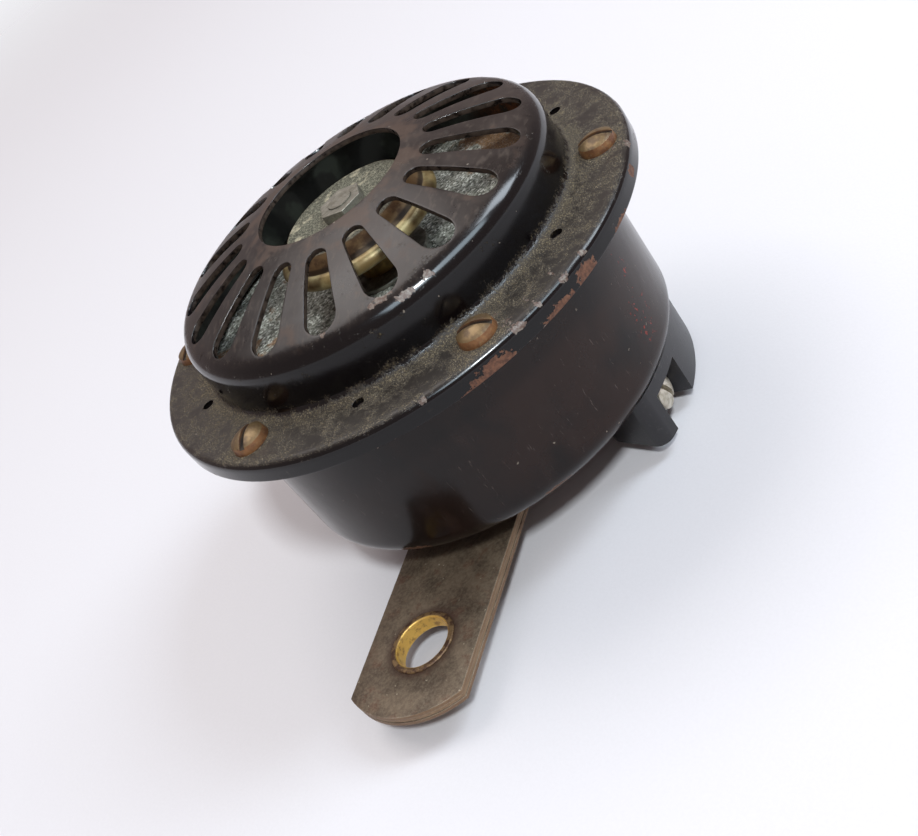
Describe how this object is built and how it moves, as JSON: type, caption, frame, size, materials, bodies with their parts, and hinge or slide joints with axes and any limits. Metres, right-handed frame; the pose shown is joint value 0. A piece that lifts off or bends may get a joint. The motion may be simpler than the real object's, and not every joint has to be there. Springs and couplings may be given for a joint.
{
  "type": "electric alarm horn",
  "caption": "Round electric diaphragm horn in a black steel case with a slotted domed grille, a rear screw terminal and a laminated spring-strap bracket with one eyelet hole.",
  "frame": {"origin": "centre of the bracket's eyelet hole, on the strap's rear face", "axes": "+Z along the horn's axis towards the grille; the strap runs from the hole along +Y to the horn's axis; +X is the side of the rear terminal"},
  "size_m": [0.1, 0.1201, 0.0681],
  "materials": {
    "black_enamel": "aged glossy black stoving enamel with dust and rust chips",
    "brass_screws": "tarnished brass",
    "gasket_fibre": "dark vulcanised fibre",
    "zinc_sheet": "spangled zinc plate",
    "bronze_disc": "dull bronze with a dusty face",
    "dull_zinc": "dull zinc plate",
    "dull_brass": "dull brass",
    "magnet_iron": "oiled soft iron",
    "red_fibre": "red vulcanised fibre",
    "copper_winding": "enamelled copper winding under varnish",
    "spring_bronze": "phosphor bronze strip",
    "contact_tungsten": "tungsten contact faces",
    "capacitor_can": "dull aluminium can",
    "black_bakelite": "moulded black phenolic",
    "nickel_screw": "dull nickel plate",
    "red_lead": "cotton-covered wire",
    "black_lead": "rubber-covered wire",
    "stud_steel": "browned steel",
    "spring_steel": "brown patina on spring steel",
    "yellow_brass": "yellow brass"
  },
  "bodies": {
    "bracket": {"bracket_leaf_front": "spring_steel", "bracket_leaf_middle": "spring_steel", "bracket_leaf_rear": "spring_steel", "bracket_eyelet": "yellow_brass"},
    "horn": {"front_grille": "black_enamel", "cover_screws": "brass_screws", "front_gasket": "gasket_fibre", "diaphragm": "zinc_sheet", "rear_gasket": "gasket_fibre", "rear_case": "black_enamel", "magnet_yoke": "magnet_iron", "magnet_core": "magnet_iron", "coil_bobbin": "red_fibre", "coil_winding": "copper_winding", "contact_stand": "dull_zinc", "stand_screw": "dull_brass", "stack_insulators": "red_fibre", "stack_screws": "dull_zinc", "blade_roots": "spring_bronze", "adjuster_bush": "dull_brass", "spark_capacitor": "capacitor_can", "capacitor_clip": "dull_zinc", "clip_rivet": "dull_zinc", "terminal_block": "black_bakelite", "terminal_sheet": "gasket_fibre", "terminal_insert": "dull_brass", "terminal_bush": "red_fibre", "block_rivets": "dull_zinc", "terminal_lead": "red_lead", "coil_lead": "black_lead", "capacitor_lead": "black_lead", "mounting_stud": "stud_steel", "stud_spacer": "stud_steel", "stud_washer": "stud_steel", "stud_nut": "stud_steel"},
    "vibrator": {"tone_disc": "bronze_disc", "tone_disc_nut": "dull_zinc", "tone_disc_spacer": "dull_brass", "diaphragm_washers": "dull_zinc", "centre_rod": "dull_zinc", "armature": "magnet_iron", "contact_pusher": "red_fibre"},
    "contact_blade": {"moving_contact_blade": "spring_bronze", "moving_contact": "contact_tungsten"},
    "contact_arm": {"fixed_contact_arm": "spring_bronze", "fixed_contact": "contact_tungsten"},
    "adjuster_carriage": {"adjuster_washer": "dull_zinc"},
    "adjuster": {"adjusting_screw": "dull_brass"},
    "terminal_carriage": {"terminal_washer": "nickel_screw"},
    "terminal_knob": {"terminal_screw": "nickel_screw"}
  },
  "joints": [
    {"name": "horn_swivel", "type": "hinge", "parent": "bracket", "child": "horn", "pos_m": [0, 0.055, 0.0035], "axis": [0, 0, 1], "range_deg": [-36, 192]},
    {"name": "diaphragm_stroke", "type": "slide", "parent": "horn", "child": "vibrator", "axis": [0, 0, 1], "range_m": [-0.0006, 0], "deforming": ["diaphragm"]},
    {"name": "contact_lift", "type": "hinge", "parent": "horn", "child": "contact_blade", "pos_m": [0.01255, 0.079, 0.02785], "axis": [0, 1, 0], "range_deg": [-1.6, 0]},
    {"name": "contact_arm_tilt", "type": "hinge", "parent": "horn", "child": "contact_arm", "pos_m": [0.01255, 0.079, 0.0305], "axis": [0, 1, 0], "range_deg": [0, 1.4]},
    {"name": "adjuster_advance", "type": "slide", "parent": "horn", "child": "adjuster_carriage", "axis": [0, 0, 1], "range_m": [0, 0.0007]},
    {"name": "adjuster_turn", "type": "hinge", "parent": "adjuster_carriage", "child": "adjuster", "pos_m": [-0.018, 0.079, 0.0155], "axis": [0, 0, 1], "range_deg": [0, 362]},
    {"name": "terminal_advance", "type": "slide", "parent": "horn", "child": "terminal_carriage", "axis": [1, 0, 0], "range_m": [0, 0.0014]},
    {"name": "terminal_turn", "type": "hinge", "parent": "terminal_carriage", "child": "terminal_knob", "pos_m": [0.035, 0.0506, 0.0025], "axis": [1, 0, 0], "range_deg": [0, 724]}
  ],
  "couplings": [
    {"joint": "contact_lift", "follows": "diaphragm_stroke", "rad_per_m": 43},
    {"joint": "contact_arm_tilt", "follows": "adjuster_advance", "rad_per_m": 32.733},
    {"joint": "adjuster_turn", "follows": "adjuster_advance", "rad_per_m": 8976},
    {"joint": "terminal_turn", "follows": "terminal_advance", "rad_per_m": 8976}
  ]
}
